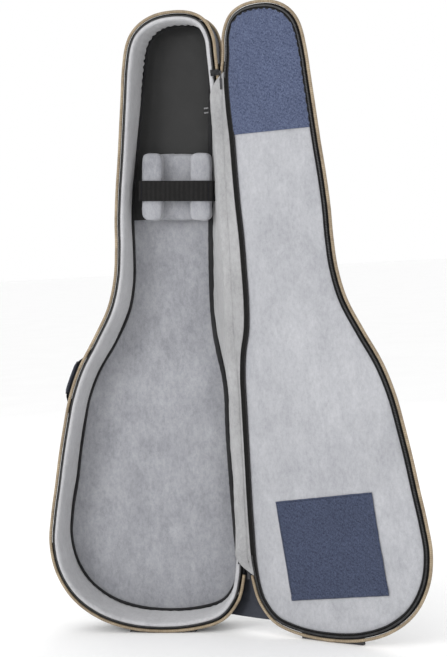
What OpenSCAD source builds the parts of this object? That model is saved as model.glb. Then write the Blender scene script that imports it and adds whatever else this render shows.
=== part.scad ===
// Padded electric bass gig bag, standing open like a book.
// Local frame of both halves: hinge axis = Z axis, u = distance from the hinge, y = depth.
// The tray lies along -X and is deep towards +Y. The lid lies along +X and is turned to the front.

/* [Outline] */
// Height of the panels (mm)
bag_h = 1241; // [1100:1:1400]
// Largest width of the panels (mm)
bout_w = 408; // [360:1:480]
// How much smaller the back panel is than the rim, on each side, beyond its own outline (mm)
splay = 0; // [0:1:10]
// Gap between the floor and the lowest point of the panels (mm)
base_gap = 7.2; // [7:0.1:12]

/* [Tray] */
// Outer depth of the tray (mm)
tray_depth = 107; // [80:1:130]
// Thickness of the padded wall (mm)
wall_t = 14; // [12:1:26]
// Thickness of the padded back (mm)
back_t = 19; // [12:1:26]

/* [Lid] */
// Thickness of the lid, without its pocket (mm)
lid_t = 25; // [16:1:40]
// How much smaller the lid's outer face is than its rim, on each side (mm)
front_in = 14; // [0:1:20]
// How far the lid stands from flat open, towards the front (degrees)
lid_rest = 23; // [0:1:60]
// Depth of the front pocket (mm)
pocket_t = 15; // [8:1:30]

/* [Neck cradle] */
// Width of the cradle block (mm)
cradle_w = 147; // [110:1:160]
// Height of the cradle block (mm)
cradle_h = 142; // [90:1:180]
// Width of the neck channel (mm)
channel_w = 54; // [45:1:75]
// Depth of the neck channel (mm)
channel_d = 30; // [15:1:40]
// Width of the neck strap (mm)
strap_w = 41; // [30:1:60]

/* [Trim] */
// Radius of the tan edge piping (mm)
pipe_r = 2.4; // [1.5:0.1:3]
// Width of the lid's inner zip tape (mm)
tape_w = 14; // [8:1:20]
// Side of the square patch inside the lid (mm)
patch_h = 198; // [120:1:240]

/* [Hidden] */
$fn = 48;
// Play between layers that touch in the real bag
gap = 0.2;
// Thickness of the outer cloth and of the plush lining
cloth = 2.2;
plush = 1.8;
// The rim of each half stops this far from the plane of the hinge axis
rim_y = 6;
// Lean of the bag's centreline towards the hinge, and of the cradle
lean = 6.3;
cradle_lean = 3.4;
// Centre of the tray's foot, which is the origin of the part
foot_u = 190;
foot_y = 56;

// The closed outline is a smooth curve through these (u, z) points: the bottom,
// the far side and the top are shared by both halves, and the hinge side differs.
kz = bag_h / 1241;
ku = bout_w / 420;
shared = [
  [14, 100], [28, 58], [62, 22], [120, 5], [190, 0], [262, 7], [326, 29], [378, 68],
  [410, 122], [420, 182], [412, 242], [400, 300], [388, 360], [374, 420], [358, 480],
  [333, 540], [296, 600], [262, 660], [244, 720], [237, 780], [234, 840], [228, 900],
  [220, 960], [213, 1020], [206, 1080], [199, 1140], [188, 1188], [168, 1217],
  [136, 1235], [97, 1241], [58, 1237], [30, 1221], [14.5, 1190], [11, 1150]
];
// How far the back panel lies inside the rim at each of those points
shared_in = [
  8, 8, 7, 6, 6, 6, 5, 4, 3, 1, 0, 2, 1, 0, 0, 4, 8, 6, 0, -5, -7, -7, -5, -2, 2, 5, 4, 1, -3, -3, -2, 2, 5, 8
];
// Heights of the points along the hinge side, from the top down
near_z = [1105, 1045, 985, 920, 855, 790, 725, 665, 610, 560, 510, 465, 400, 335, 270, 205, 150];
near_rim = [8.6, 6, 4, 2.5, 1.5, 1.5, 1.5, 1.5, 1.5, 1.5, 1.5, 1.5, 1.5, 1.5, 1.8, 3.5, 7.5];
near_back = [18, 24, 29, 34, 39, 44, 48, 50, 48, 40, 28, 24, 26, 25, 23, 20, 18];
near_lid = [4, 5, 9.5, 11.5, 14.5, 19, 21, 22, 19, 8, 3.2, 3, 3, 3, 3, 4, 6];

// Steps of the curve between two of the points above
sub = 2;
far_n = len(shared);
all_n = far_n + len(near_z);
N = all_n * sub;
// The hinge side runs over these indices of the curve
near_first = (far_n - 1) * sub + 2;
near_last = N - 1;
// The zip track starts this many steps before the lowest point of the hinge side
track_first = -2;

function unit(v) = v / norm(v);
function wrap(i, n) = (i % n + n) % n;
function mixed(a, b, t) = a * (1 - t) + b * t;
// Catmull-Rom point between b and c
function spline(a, b, c, d, t) =
  0.5 * (2 * b + (c - a) * t + (2 * a - 5 * b + 4 * c - d) * t * t + (3 * b - a - 3 * c + d) * t * t * t);
function curve(p) = [
  for (i = [0 : len(p) - 1])
    for (s = [0 : sub - 1])
      spline(p[wrap(i - 1, len(p))], p[i], p[wrap(i + 1, len(p))], p[wrap(i + 2, len(p))], s / sub)
];
// A closed loop moved inwards by d; the loop runs anticlockwise
function inward(p, i) =
  let (t = unit(p[wrap(i + 1, len(p))] - p[wrap(i - 1, len(p))])) [-t[1], t[0]];
function inset(p, d) = [for (i = [0 : len(p) - 1]) p[i] + d * inward(p, i)];
function sized(p) = [for (q = p) [q[0] * ku, q[1] * kz + base_gap]];
function near_side(u) = [for (i = [0 : len(near_z) - 1]) [u[i], near_z[i]]];

rim_points = sized(concat(shared, near_side(near_rim)));
lid_points = sized(concat(shared, near_side(near_lid)));
near_back_points = sized(near_side(near_back));
back_points = [
  for (i = [0 : all_n - 1])
    i < far_n ? rim_points[i] + (shared_in[i] + splay) * inward(rim_points, i) : near_back_points[i - far_n]
];
rim_loop = curve(rim_points);
back_loop = curve(back_points);
lid_loop = curve(lid_points);

// The tray's outline at depth y, between the rim and the back, moved inwards by d
function tray_loop(y, d = 0) =
  let (
    t = min(max((y - rim_y) / (tray_depth - rim_y), 0), 1),
    rim = inset(rim_loop, d),
    back = inset(back_loop, d)
  )
  [for (i = [0 : N - 1]) mixed(rim[i], back[i], t)];

// Round and rectangular profiles, as (inset, depth) points
function ring_profile(d, y, r, n = 8) =
  [for (k = [0 : n - 1]) [d + r * cos(k * 360 / n), y + r * sin(k * 360 / n)]];
function box_profile(d0, d1, y0, y1) = [[d0, y0], [d1, y0], [d1, y1], [d0, y1]];
// Depths at which every layer of the tray's wall has points, so that the layers stay parallel
wall_levels = [20, 53, 86];
function wall_profile(d0, d1, y0, y1) =
  let (mid = [for (y = wall_levels) if (y > y0 && y < y1) y], last_mid = len(mid) - 1)
  concat(
    [[d0, y0], [d1, y0]], [for (y = mid) [d1, y]], [[d1, y1], [d0, y1]],
    [for (k = [0 : 1 : last_mid]) [d0, mid[last_mid - k]]]
  );

// A band that follows one half's outline. side = -1 is the tray, +1 is the lid.
// first and last are indices of the curve; a full turn closes on itself.
module band(profile, side, first = 0, last = -1) {
  m = len(profile);
  closed = last < 0;
  idx = closed ? [for (i = [0 : N - 1]) i] : [for (i = [first : last]) wrap(i, N)];
  n = len(idx);
  loops = [for (p = profile) side < 0 ? tray_loop(p[1], p[0]) : inset(lid_loop, p[0])];
  pts = [for (j = [0 : m - 1]) for (i = idx) [side * loops[j][i][0], profile[j][1], loops[j][i][1]]];
  steps = closed ? n : n - 1;
  quads = [
    for (j = [0 : m - 1])
      for (i = [0 : steps - 1])
        let (a = j * n + i, b = j * n + (i + 1) % n,
             c = ((j + 1) % m) * n + (i + 1) % n, d = ((j + 1) % m) * n + i,
             deeper = profile[(j + 1) % m][1] >= profile[j][1])
        for (f = deeper ? [[a, b, c], [a, c, d]] : [[a, b, d], [b, c, d]]) side < 0 ? f : [f[2], f[1], f[0]]
  ];
  start = [for (j = [0 : m - 1]) j * n];
  end = [for (j = [m - 1 : -1 : 0]) j * n + n - 1];
  flipped = [for (cap = [start, end]) [for (k = [m - 1 : -1 : 0]) cap[k]]];
  caps = closed ? [] : side < 0 ? [start, end] : flipped;
  polyhedron(points = pts, faces = concat(quads, caps), convexity = 6);
}

// A flat piece in the panel's plane, from depth y0 to y1
module slab(p, side, y0, y1) {
  translate([0, y1, 0])
    rotate([90, 0, 0])
      linear_extrude(height = y1 - y0)
        polygon([for (q = p) [side * q[0], q[1]]]);
}

// A rectangle with rounded corners about (0, 0), as points
function round_rect(w, h, r, n = 6) = [
  for (c = [[1, 1, 0], [-1, 1, 90], [-1, -1, 180], [1, -1, 270]])
    for (k = [0 : n])
      [c[0] * (w / 2 - r) + r * cos(c[2] + k * 90 / n), c[1] * (h / 2 - r) + r * sin(c[2] + k * 90 / n)]
];
function moved(p, at, turn = 0) = [
  for (q = p) at + [q[0] * cos(turn) - q[1] * sin(turn), q[0] * sin(turn) + q[1] * cos(turn)]
];

module tray_frame() {
  translate([foot_u, -foot_y, 0]) children();
}
module lid_frame() {
  tray_frame() rotate([0, 0, -lid_rest]) children();
}

// ---------- tray ----------
lining_y = tray_depth - back_t;
seam_r = 2.1;

module tray_gusset_shell() color("#2b3042")
  tray_frame() band(wall_profile(0, cloth, rim_y, tray_depth - cloth), -1);

module tray_back_shell() color("#2b3042")
  tray_frame() slab(tray_loop(tray_depth), -1, tray_depth - cloth + gap, tray_depth);

foam_out = cloth + 2 * gap;
foam_in = wall_t - plush - 2 * gap;
module tray_wall_foam() color("#6f7174")
  tray_frame() band(concat(
    [[4.6, rim_y + plush + gap], [foam_in, rim_y + plush + gap]], [for (y = wall_levels) [foam_in, y]],
    [[foam_in, lining_y - gap], [foam_out, lining_y - gap]],
    [for (k = [2, 1, 0]) [foam_out, wall_levels[k]]], [[4.6, wall_levels[0]]]
  ), -1);

module tray_wall_lining() color("#a5a6ac")
  tray_frame() band(concat(
    [[4.6, rim_y], [wall_t, rim_y]], [for (y = wall_levels) [wall_t, y]],
    [[wall_t, lining_y - gap], [wall_t - plush, lining_y - gap]],
    [for (k = [2, 1, 0]) [wall_t - plush, wall_levels[k]]],
    [[wall_t - plush, rim_y + plush], [4.6, rim_y + plush]]
  ), -1);

module tray_back_foam() color("#6f7174")
  tray_frame() slab(inset(tray_loop(tray_depth), 4.6), -1, lining_y + plush + gap, tray_depth - cloth);

module tray_back_lining() color("#9fa0a7")
  tray_frame() slab(inset(tray_loop(tray_depth), 4.6), -1, lining_y, lining_y + plush);

// The dark wear panel behind the headstock
head_z = 845;
module head_panel() color("#232326")
  tray_frame() translate([0, lining_y - gap, 0]) rotate([90, 0, 0]) linear_extrude(height = 1.2)
    intersection() {
      polygon([for (q = inset(tray_loop(lining_y), wall_t + 5)) [-q[0], q[1]]]);
      translate([-400, head_z]) square([400, 500]);
    }

module tray_rim_piping() color("#9b896e")
  tray_frame() band(ring_profile(-pipe_r - gap, rim_y - 1, pipe_r), -1, 0, near_first);

module tray_back_piping() color("#9b896e")
  tray_frame() band(ring_profile(-pipe_r - gap, tray_depth - pipe_r, pipe_r), -1);

module tray_seam_piping() color("#1c1c1e")
  tray_frame() band(ring_profile(wall_t + seam_r + gap, lining_y - seam_r - gap, seam_r, 6), -1);

module tray_zip_tape() color("#202022")
  tray_frame()
    band([[2.6, 1.6], [3.8, 1.6], [3.8, rim_y], [3.8, 18], [2.6, 18], [2.6, rim_y]], -1, track_first, near_first);

module tray_zip_chain() color("#2c2c2e")
  tray_frame() band(box_profile(4, 8, 1.5, 3.3), -1, track_first, near_first);

// The tape that closes the hinge side inside the tray
module spine_tape() color("#202022")
  tray_frame() band(box_profile(3, wall_t - 1, 2.2, 4.2), -1, near_first + 1, near_last - 2);

// ---------- neck cradle ----------
cradle_at = [109.5, 907];
cradle_y0 = 30;
lobe_w = (cradle_w - channel_w) / 2;
lobe_mid = (channel_w + lobe_w) / 2;
cradle_base_y = cradle_y0 + channel_d;
strap_drop = -8.5;
strap_t = 2;
strap_leg = 24;

// Places children drawn in (u, z) about the cradle's centre, and in depth y
module cradle_frame() {
  tray_frame() translate([-cradle_at[0], 0, cradle_at[1]]) rotate([0, cradle_lean, 0]) children();
}

// The block behind the lobes stays clear of the sloping wall on the hinge side
base_w = 116;
base_x = -10;
module cradle_base() color("#97989e")
  cradle_frame()
    slab(moved(round_rect(base_w, cradle_h - 6, 20), [base_x, 0]), 1, cradle_base_y + gap, lining_y - 1.2 - 2 * gap);

module cradle_lobe(s) {
  slab(moved(round_rect(lobe_w, cradle_h, 15), [s * lobe_mid, 0]), 1, cradle_y0, cradle_base_y);
}
module cradle_lobe_far() color("#a9aab0")
  cradle_frame() cradle_lobe(-1);
module cradle_lobe_near() color("#a9aab0")
  cradle_frame() cradle_lobe(1);

// The strap is sewn to the far lobe, crosses the channel and closes on the near lobe
strap_edge = cradle_w / 2 + 0.4;
module strap_anchor() color("#1d1d1f")
  cradle_frame() translate([-strap_edge - strap_t, cradle_y0 + 0.6, strap_drop - strap_w / 2])
    cube([strap_t, strap_leg, strap_w]);

module neck_strap() color("#1d1d1f")
  cradle_frame() translate([0, 0, strap_drop - strap_w / 2]) {
    translate([-strap_edge - strap_t, cradle_y0 - 0.4 - strap_t, 0])
      cube([2 * strap_edge + 2 * strap_t + 1.6, strap_t, strap_w]);
    translate([strap_edge + 1.6, cradle_y0 - 0.4 - strap_t, 0])
      cube([strap_t, strap_leg + strap_t, strap_w]);
  }

module strap_hook_patch() color("#29292b")
  cradle_frame() translate([strap_edge - 0.2, cradle_y0 + 2, strap_drop - strap_w / 2 + 3])
    cube([1.4, strap_leg - 5, strap_w - 6]);

// ---------- side carry handle ----------
handle_low = [359, 440];
handle_high = [295, 588];
handle_y = 52;
handle_len = norm(handle_high - handle_low);
handle_tilt = atan2(handle_low[0] - handle_high[0], handle_high[1] - handle_low[1]);
handle_out = 30;
grip_len = 74;
grip_w = 32;
web_w = 25;

// Local frame of the handle: z along the wall from the lower tab, -x away from the bag
module handle_frame() {
  tray_frame() translate([-handle_low[0], handle_y, handle_low[1]]) rotate([0, handle_tilt, 0]) children();
}

// The tabs lie on the wall at these indices of the curve
tabs_first = [26, 32];
module handle_tabs() color("#232a40")
  tray_frame()
    for (i = tabs_first)
      band(wall_profile(-2.4, -2 * gap, handle_y - web_w / 2, handle_y + web_w / 2), -1, i, i + 1);

module handle_webbing() color("#1e2230")
  handle_frame() {
    mid = handle_len / 2;
    for (s = [-1, 1])
      hull() {
        translate([-9.4, -web_w / 2, mid + s * (mid - 2) - 1]) cube([2, web_w, 2]);
        translate([-handle_out - 2, -web_w / 2, mid + s * grip_len / 2 - 1]) cube([2, web_w, 2]);
      }
    translate([-handle_out - 2, -web_w / 2, mid - grip_len / 2]) cube([2, web_w, grip_len]);
  }

module handle_grip() color("#262c44")
  handle_frame() translate([0, 0, (handle_len - grip_len) / 2 + 2])
    linear_extrude(height = grip_len - 4)
      difference() {
        polygon(moved(round_rect(9, grip_w, 4), [-handle_out - 1, 0]));
        translate([-handle_out - 2.2, -web_w / 2 - 0.2]) square([2.4, web_w + 0.4]);
      }

// ---------- back of the tray ----------
loop_z = 1196;
loop_u = 104;
module top_loop_tab() color("#232a40")
  tray_frame() translate([-loop_u - 16, tray_depth + gap, loop_z]) cube([32, 4, 34]);

module top_loop() color("#1e2230")
  tray_frame() translate([-loop_u, tray_depth + 1, loop_z - 1]) {
    translate([-13, 0, -4]) cube([26, 3, 4]);
    for (s = [-1, 1])
      translate([s * 11 - 2, 0, -84]) cube([4, 3, 81]);
    translate([-13, 0, -88]) cube([26, 3, 6]);
  }

// Shoulder straps: a curved pad, a webbing tail and a buckle on each side
pad_w = 62;
pad_t = 14;
pad_top = 985;
pad_len = 470;
tail_end = 112;
function pad_mid(s, z) =
  let (t = (pad_top - z) / pad_len)
  118 + s * (34 + 44 * t * t) + (pad_top - z) * tan(lean);
function pad_half(s, z0, z1, w) = concat(
  [for (k = [0 : 12]) let (z = z0 + (z1 - z0) * k / 12) [pad_mid(s, z) + w / 2, z]],
  [for (k = [12 : -1 : 0]) let (z = z0 + (z1 - z0) * k / 12) [pad_mid(s, z) - w / 2, z]]
);
module shoulder_pad(s) {
  tray_frame() slab(pad_half(s, pad_top - pad_len, pad_top, pad_w), -1, tray_depth + gap, tray_depth + pad_t);
}
module shoulder_pad_far() color("#2a3047") shoulder_pad(1);
module shoulder_pad_near() color("#2a3047") shoulder_pad(-1);

module shoulder_tail(s) {
  tray_frame()
    slab(pad_half(s, tail_end, pad_top - pad_len - 4, web_w), -1, tray_depth + gap, tray_depth + 2.2);
}
module shoulder_tail_far() color("#1d1f26") shoulder_tail(0.75);
module shoulder_tail_near() color("#1d1f26") shoulder_tail(-0.75);

buckle_z = pad_top - pad_len - 30;
module buckle(s) {
  tray_frame() translate([-pad_mid(s, buckle_z), tray_depth + 2.6, buckle_z]) rotate([90, 0, 180])
    linear_extrude(height = 6)
      difference() {
        polygon(round_rect(38, 34, 4));
        for (z = [-9, 1])
          translate([-14, z]) square([28, 8]);
      }
}
module buckle_far() color("#18181a") buckle(0.75);
module buckle_near() color("#18181a") buckle(-0.75);

// Cross patch where both straps are sewn on
module shoulder_yoke() color("#232a40")
  tray_frame()
    slab(moved(round_rect(176, 60, 10), [118, pad_top + 36]), -1, tray_depth + gap, tray_depth + 5);

// ---------- bottom of the tray ----------
boot_first = -3;
boot_last = 18;
boot_t = 2.2;
module tray_boot() color("#3a3b3e")
  tray_frame()
    band(wall_profile(-boot_t - 2 * gap, -2 * gap, 9, tray_depth - 6), -1, boot_first + N, boot_last + N);

foot_first = 6;
foot_last = 10;
function foot_points(loop, d) =
  let (p = inset(loop, d))
  concat([for (i = [foot_first : foot_last]) p[i]], [[p[foot_last][0], 0], [p[foot_first][0], 0]]);
module tray_foot() color("#242426")
  tray_frame() slab(foot_points(rim_loop, -boot_t - 3 * gap), -1, 14, tray_depth - 11);

// ---------- lid ----------
lid_face = lid_t - cloth;
module lid_panel_shell() color("#2b3042")
  lid_frame() slab(inset(lid_loop, front_in), 1, lid_face + gap, lid_t);

module lid_edge_band() color("#2b3042")
  lid_frame()
    band([[0, rim_y], [cloth, rim_y], [front_in + cloth, lid_face], [front_in, lid_face]], 1);

module lid_foam() color("#6f7174")
  lid_frame() slab(inset(lid_loop, front_in + cloth + gap), 1, rim_y + plush + gap, lid_face);

module lid_lining() color("#bebec3")
  lid_frame() slab(inset(lid_loop, 2 * cloth + gap), 1, rim_y, rim_y + plush);

// It stops short of the upper zip slider, which it passes as the lid swings
module lid_rim_piping() color("#9b896e")
  lid_frame() band(ring_profile(-pipe_r - gap, rim_y - 1, pipe_r), 1, 0, near_first - 1);

// The piping of the outer face lies against the sloping edge band
edge_slope = atan2(front_in, lid_face - rim_y);
front_pipe_y = lid_t - pipe_r;
front_pipe_d = (front_pipe_y - rim_y) * tan(edge_slope) - (pipe_r + 2 * gap) / cos(edge_slope);
module lid_front_piping() color("#9b896e")
  lid_frame() band(ring_profile(front_pipe_d, front_pipe_y, pipe_r), 1);

module lid_zip_tape() color("#2d2d2f")
  lid_frame() band(box_profile(2.4, 2.4 + tape_w, rim_y - 1.6, rim_y - gap), 1);

module lid_zip_chain() color("#2c2c2e")
  lid_frame() band(box_profile(3.4, 7.4, 1.6, rim_y - 1.8), 1, track_first, near_first);

lid_head_z = 1000;
module lid_head_panel() color("#4f5b86")
  lid_frame() translate([0, rim_y - gap, 0]) rotate([90, 0, 0]) linear_extrude(height = 1.4)
    intersection() {
      polygon(inset(lid_loop, 2.6 + tape_w));
      translate([0, lid_head_z]) square([400, 400]);
    }

patch_w = patch_h * 1.11;
patch_at = [197, 188];
patch_turn = 7.7;
module lid_patch() color("#3f4a70")
  lid_frame()
    slab(moved(round_rect(patch_w, patch_h, 2, 2), patch_at, patch_turn), 1, rim_y - 2, rim_y - gap);

// The gusset cloth between the hinge and the waisted edge of the lid
module spine_gusset() color("#a2a3a8")
  lid_frame() slab(
    concat(
      [for (i = [near_first + 1 : near_last]) lid_loop[i] - [gap, 0]],
      [for (i = [near_last : -1 : near_first + 1]) [1, lid_loop[i][1]]]
    ), 1, rim_y, rim_y + 6);

module lid_foot() color("#242426")
  lid_frame() slab(foot_points(lid_loop, -2 * gap), 1, rim_y + pipe_r, rim_y + pipe_r + 8);

// ---------- front pocket on the lid ----------
pocket_at = [200, 285];
pocket_w = 280;
pocket_h = 400;
module pocket_body() color("#2f3550")
  lid_frame()
    slab(moved(round_rect(pocket_w, pocket_h, 46), pocket_at, lean), 1, lid_t + gap, lid_t + pocket_t);

module pocket_frame() {
  lid_frame() translate([pocket_at[0], 0, pocket_at[1]]) rotate([0, -lean, 0]) children();
}
pocket_zip_z = pocket_h / 2 - 52;
pocket_zip_y = lid_t + pocket_t;
module pocket_zip() color("#202022")
  pocket_frame() {
    translate([-120, pocket_zip_y + gap, pocket_zip_z - 11]) cube([240, 1.2, 22]);
    translate([-116, pocket_zip_y + gap + 1.1, pocket_zip_z - 2.5]) cube([232, 1.6, 5]);
  }

slider_len = 12;
pin_r = 1.2;
pin_play = 0.05;
pocket_slider_x = -108;
module pocket_slider() color("#8d8d92")
  pocket_frame() translate([pocket_slider_x, pocket_zip_y + 1.6, pocket_zip_z]) {
    for (s = [-1, 1])
      translate([-slider_len / 2, 0.2, s * 4 - 1.2]) cube([slider_len, 3, 2.4]);
    translate([-slider_len / 2, 1.6, -4.5]) cube([slider_len, 1.7, 9]);
    for (s = [-1, 1])
      translate([s * 2.2 - 0.6, 3.2, -1.6]) cube([1.2, 5, 3.2]);
    translate([-2.4, 6.2, 0]) rotate([0, 90, 0]) cylinder(r = pin_r, h = 4.8);
  }
module pocket_pull() color("#26262a")
  pocket_frame() translate([pocket_slider_x, pocket_zip_y + 7.8, pocket_zip_z])
    difference() {
      union() {
        translate([-1.3, 0, 0]) rotate([0, 90, 0]) cylinder(r = 2.4, h = 2.6);
        translate([-1.3, -0.6, -14]) cube([2.6, 1.6, 13]);
        translate([-3.6, -0.6, -38]) cube([7.2, 1.6, 25]);
      }
      translate([-3, 0, 0]) rotate([0, 90, 0]) cylinder(r = pin_r + pin_play, h = 6);
    }

// ---------- main zip sliders, parked at the two ends of the track ----------
// Frames: x towards the hinge, z along the track, y = 0 in the plane of the hinge axis
top_end = mixed(rim_loop[near_first - 1], rim_loop[near_first], 0.45);
low_end = mixed(rim_loop[N - 2], rim_loop[N - 1], 0.4);
module end_frame(at, turn) {
  tray_frame() translate([-at[0], 0, at[1]]) rotate([0, turn, 0]) children();
}
function slope(a, b) = atan2(a[0] - b[0], b[1] - a[1]);
top_turn = slope(rim_loop[near_first], rim_loop[near_first - 2]);
low_turn = slope(rim_loop[N - 1], rim_loop[N - 2]);
plate_y = -0.4;
pull_x = 10.8;
pull_t = 0.55;
module main_slider() {
  // plate over the chain, wall round its inner edge, plate under it, arm with the pull's pin
  translate([-9.6, plate_y, -slider_len / 2]) cube([17.4, 1.5, slider_len]);
  translate([-9.6, plate_y, -slider_len / 2]) cube([1.2, 5.6, slider_len]);
  translate([-9.6, 3.7, -slider_len / 2]) cube([5.2, 1.5, slider_len]);
  translate([7, plate_y, -2]) cube([pull_x - 5.8, 0.7, 4]);
  translate([pull_x, plate_y - 0.95, 0]) rotate([-90, 0, 0]) cylinder(r = pin_r, h = 1.2);
}
// The pull hangs down from its pin, in front of the plate, and can swing across it
module main_pull(turn) {
  translate([pull_x, plate_y - 0.9, 0]) rotate([0, -turn, 0]) rotate([-90, 0, 0])
    difference() {
      union() {
        cylinder(r = 2.6, h = pull_t);
        translate([-1.2, 2, 0]) cube([2.4, 12, pull_t]);
        translate([-2.4, 13, 0]) cube([4.8, 22, pull_t]);
      }
      translate([0, 0, -1]) cylinder(r = pin_r + pin_play, h = 3);
    }
}
module top_slider() color("#77777c") end_frame(top_end, top_turn) main_slider();
module top_pull() color("#26262a") end_frame(top_end, top_turn) main_pull(top_turn);
module low_slider() color("#77777c") end_frame(low_end, low_turn) main_slider();
module low_pull() color("#26262a") end_frame(low_end, low_turn) main_pull(low_turn);

tray_gusset_shell();
tray_back_shell();
tray_wall_foam();
tray_wall_lining();
tray_back_foam();
tray_back_lining();
head_panel();
tray_rim_piping();
tray_back_piping();
tray_seam_piping();
tray_zip_tape();
tray_zip_chain();
spine_tape();
cradle_base();
cradle_lobe_far();
cradle_lobe_near();
strap_anchor();
neck_strap();
strap_hook_patch();
handle_tabs();
handle_webbing();
handle_grip();
top_loop_tab();
top_loop();
shoulder_pad_far();
shoulder_pad_near();
shoulder_tail_far();
shoulder_tail_near();
buckle_far();
buckle_near();
shoulder_yoke();
tray_boot();
tray_foot();
lid_panel_shell();
lid_edge_band();
lid_foam();
lid_lining();
lid_rim_piping();
lid_front_piping();
lid_zip_tape();
lid_zip_chain();
lid_head_panel();
lid_patch();
spine_gusset();
lid_foot();
pocket_body();
pocket_zip();
pocket_slider();
pocket_pull();
top_slider();
top_pull();
low_slider();
low_pull();
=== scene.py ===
"""Looks of a padded bass gig bag, standing open like a book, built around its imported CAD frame.

Both halves are drawn in their own coordinates: u is the distance from the hinge, z the height,
and y (tray) or w (lid) the depth. Lists of numbers are in millimetres, Blender's are in metres.
"""
from math import atan2, copysign, cos, exp, floor, hypot, pi, radians, sin, tan

import bpy
import bmesh
from mathutils import Matrix, Vector, noise


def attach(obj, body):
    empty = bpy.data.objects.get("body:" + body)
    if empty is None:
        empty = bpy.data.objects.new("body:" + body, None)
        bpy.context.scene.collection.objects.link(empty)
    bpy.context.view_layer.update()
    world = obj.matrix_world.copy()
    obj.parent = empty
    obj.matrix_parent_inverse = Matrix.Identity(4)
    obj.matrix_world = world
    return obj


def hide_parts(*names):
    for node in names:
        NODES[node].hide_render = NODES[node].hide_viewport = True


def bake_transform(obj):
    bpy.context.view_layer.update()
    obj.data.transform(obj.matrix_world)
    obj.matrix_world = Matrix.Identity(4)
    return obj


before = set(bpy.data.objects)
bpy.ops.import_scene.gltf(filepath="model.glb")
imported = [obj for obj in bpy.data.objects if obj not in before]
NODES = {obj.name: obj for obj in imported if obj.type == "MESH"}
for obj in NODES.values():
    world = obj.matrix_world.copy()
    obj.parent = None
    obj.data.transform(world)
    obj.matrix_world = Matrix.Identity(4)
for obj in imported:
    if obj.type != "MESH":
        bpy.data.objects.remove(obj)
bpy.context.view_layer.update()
scene = bpy.context.scene

# ---- outline of the halves (mm)
BASE_GAP, KU = 7.2, 408 / 420
HINGE_U, HINGE_Y = 190, 56
LID_REST = radians(23)
DEPTH, RIM_Y, LINING_Y = 107, 6, 88
PIPE_R, FRONT_IN = 3.2, 14
WALL, LID_T = 14, 25
SUB = 8
shared = [
    (14, 100), (28, 58), (62, 22), (120, 5), (190, 0), (262, 7), (326, 29), (378, 68),
    (410, 122), (420, 182), (412, 242), (400, 300), (388, 360), (374, 420), (358, 480),
    (333, 540), (296, 600), (262, 660), (244, 720), (237, 780), (234, 840), (228, 900),
    (220, 960), (213, 1020), (206, 1080), (199, 1140), (188, 1188), (168, 1217),
    (136, 1235), (97, 1241), (58, 1237), (30, 1221), (14.5, 1190), (11, 1150)]
shared_in = [8, 8, 7, 6, 6, 6, 5, 4, 3, 1, 0, 2, 1, 0, 0, 4, 8, 6, 0, -5, -7, -7, -5, -2, 2, 5,
             4, 1, -3, -3, -2, 2, 5, 8]
near_z = [1105, 1045, 985, 920, 855, 790, 725, 665, 610, 560, 510, 465, 400, 335, 270, 205, 150]
near_rim = [8.6, 6, 4, 2.5, 1.5, 1.5, 1.5, 1.5, 1.5, 1.5, 1.5, 1.5, 1.5, 1.5, 1.8, 3.5, 7.5]
near_back = [18, 24, 29, 34, 39, 44, 48, 50, 48, 40, 28, 24, 26, 25, 23, 20, 18]
near_lid = [4, 5, 9.5, 11.5, 14.5, 19, 21, 22, 19, 8, 3.2, 3, 3, 3, 3, 4, 6]
ALL = len(shared) + len(near_z)
N = ALL * SUB
NEAR_FIRST = len(shared) * SUB
NEAR_LAST = N - SUB // 2
TRACK_FIRST = -SUB


def spline(a, b, c, d, t):
    return tuple(0.5 * (2 * q + (r - p) * t + (2 * p - 5 * q + 4 * r - s) * t * t
                        + (3 * q - p - 3 * r + s) * t ** 3) for p, q, r, s in zip(a, b, c, d))


def curve(pts, sub=SUB):
    n = len(pts)
    return [spline(pts[i - 1], pts[i], pts[(i + 1) % n], pts[(i + 2) % n], k / sub)
            for i in range(n) for k in range(sub)]


def inward(loop, i):
    a, b = loop[i - 1], loop[(i + 1) % len(loop)]
    x, y = b[0] - a[0], b[1] - a[1]
    m = hypot(x, y)
    return -y / m, x / m


def inset(loop, d):
    """The loop moved inwards by d: a number, or a function of the point's index."""
    depth = d if callable(d) else lambda i: d
    return [(p[0] + depth(i) * inward(loop, i)[0], p[1] + depth(i) * inward(loop, i)[1])
            for i, p in enumerate(loop)]


def sized(pts):
    return [(u * KU, z + BASE_GAP) for u, z in pts]


rim_pts = sized(shared + list(zip(near_rim, near_z)))
lid_pts = sized(shared + list(zip(near_lid, near_z)))
shared_back = inset(rim_pts, lambda i: shared_in[i] if i < len(shared) else 0)[:len(shared)]
back_pts = shared_back + sized(zip(near_back, near_z))
rim_loop, back_loop, lid_loop = curve(rim_pts), curve(back_pts), curve(lid_pts)
NORMAL_RIM = [inward(rim_loop, i) for i in range(N)]
NORMAL_BACK = [inward(back_loop, i) for i in range(N)]
NORMAL_LID = [inward(lid_loop, i) for i in range(N)]


def arc(loop):
    """Length along the loop up to each of its points."""
    s = [0.0]
    for i in range(len(loop)):
        a, b = loop[i], loop[(i + 1) % len(loop)]
        s.append(s[-1] + hypot(b[0] - a[0], b[1] - a[1]))
    return s


ARC = arc(rim_loop)


def tray_uz(i, d, y):
    i %= N
    t = min(max((y - RIM_Y) / (DEPTH - RIM_Y), 0), 1)
    a, b, m, n = rim_loop[i], back_loop[i], NORMAL_RIM[i], NORMAL_BACK[i]
    return tuple((a[k] + d * m[k]) * (1 - t) + (b[k] + d * n[k]) * t for k in (0, 1))


def tray(u, y, z):
    return Vector(((HINGE_U - u) / 1000, (y - HINGE_Y) / 1000, z / 1000))


def lid(u, w, z):
    c, s = cos(-LID_REST), sin(-LID_REST)
    return Vector(((HINGE_U + u * c - w * s) / 1000, (-HINGE_Y + u * s + w * c) / 1000, z / 1000))


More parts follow.
